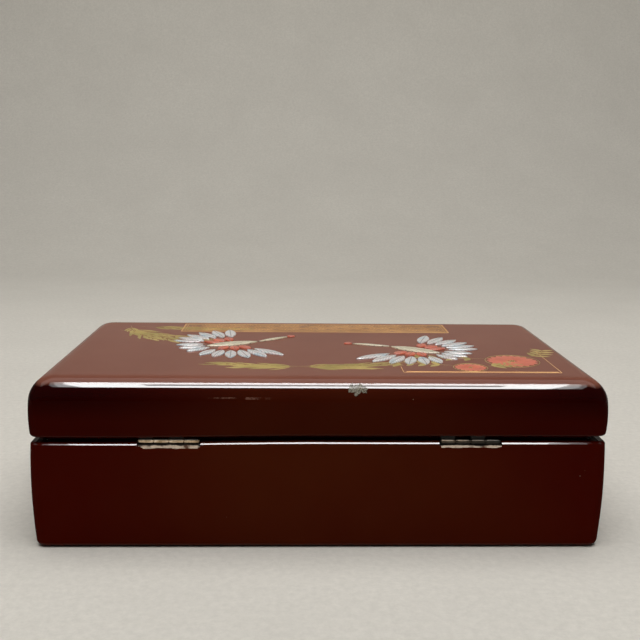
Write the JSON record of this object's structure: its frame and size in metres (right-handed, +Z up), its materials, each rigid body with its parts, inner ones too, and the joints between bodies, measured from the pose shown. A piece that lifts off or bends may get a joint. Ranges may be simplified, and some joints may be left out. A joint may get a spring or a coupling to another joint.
{
  "type": "lacquered jewelry box",
  "caption": "Long low box in dark red gloss lacquer with a hinged round-edged lid, velvet lining, lid mirror and a lift-out divided tray.",
  "frame": {"origin": "centre of the underside, on the surface that the box rests on", "axes": "+Z up, +X to the right and -Y towards someone in front of the box; the hinges are on the +Y side"},
  "size_m": [0.27, 0.16, 0.0822],
  "materials": {
    "lacquered_wood": "deep maroon high-gloss lacquer over wood",
    "plain_wood": "bare thin board",
    "velvet": "velvet over card",
    "tray_velvet": "card covered in velvet",
    "underside_felt": "thin felt",
    "ribbon_satin": "satin ribbon",
    "hinge_brass": "tarnished",
    "mirror_glass": "silvered glass",
    "shell": "polished shell",
    "coral": "polished coral red",
    "bone": "polished cream bone"
  },
  "bodies": {
    "base": {"base_bottom_panel": "plain_wood", "base_felt": "underside_felt", "base_floor_pad": "velvet", "base_front_board": "lacquered_wood", "base_left_board": "lacquered_wood", "base_lining_front": "velvet", "base_lining_left": "velvet", "base_lining_rear": "velvet", "base_lining_right": "velvet", "base_rear_board": "lacquered_wood", "base_right_board": "lacquered_wood", "hinge_base_screws": "hinge_brass", "hinge_left_base_leaf": "hinge_brass", "hinge_left_pin": "hinge_brass", "hinge_right_base_leaf": "hinge_brass", "hinge_right_pin": "hinge_brass", "tray_ledge_left": "velvet", "tray_ledge_right": "velvet"},
    "lid": {"crane_left_bone_pieces": "bone", "crane_left_coral_pieces": "coral", "crane_left_shell_pieces": "shell", "crane_right_bone_pieces": "bone", "crane_right_coral_pieces": "coral", "crane_right_shell_pieces": "shell", "hinge_left_lid_leaf": "hinge_brass", "hinge_lid_screws": "hinge_brass", "hinge_right_lid_leaf": "hinge_brass", "lid_backing": "velvet", "lid_front_board": "lacquered_wood", "lid_left_board": "lacquered_wood", "lid_lining_front": "velvet", "lid_lining_left": "velvet", "lid_lining_rear": "velvet", "lid_lining_right": "velvet", "lid_mirror": "mirror_glass", "lid_rear_board": "lacquered_wood", "lid_right_board": "lacquered_wood", "lid_top_panel": "lacquered_wood"},
    "tray": {"ring_roll_1": "velvet", "ring_roll_2": "velvet", "ring_roll_3": "velvet", "ring_roll_4": "velvet", "tray_floor": "tray_velvet", "tray_front_wall": "tray_velvet", "tray_lane_divider": "tray_velvet", "tray_left_wall": "tray_velvet", "tray_long_divider": "tray_velvet", "tray_pocket_divider_1": "tray_velvet", "tray_pocket_divider_2": "tray_velvet", "tray_rear_wall": "tray_velvet", "tray_ribbon_left": "ribbon_satin", "tray_ribbon_right": "ribbon_satin", "tray_right_wall": "tray_velvet"}
  },
  "joints": [
    {"name": "lid_hinge", "type": "hinge", "parent": "base", "child": "lid", "pos_m": [0, 0.0777, 0.0522], "axis": [-1, 0, 0], "range_deg": [0, 100]},
    {"name": "tray_lift", "type": "slide", "parent": "base", "child": "tray", "axis": [0, 0, 1], "range_m": [0, 0.014]}
  ]
}
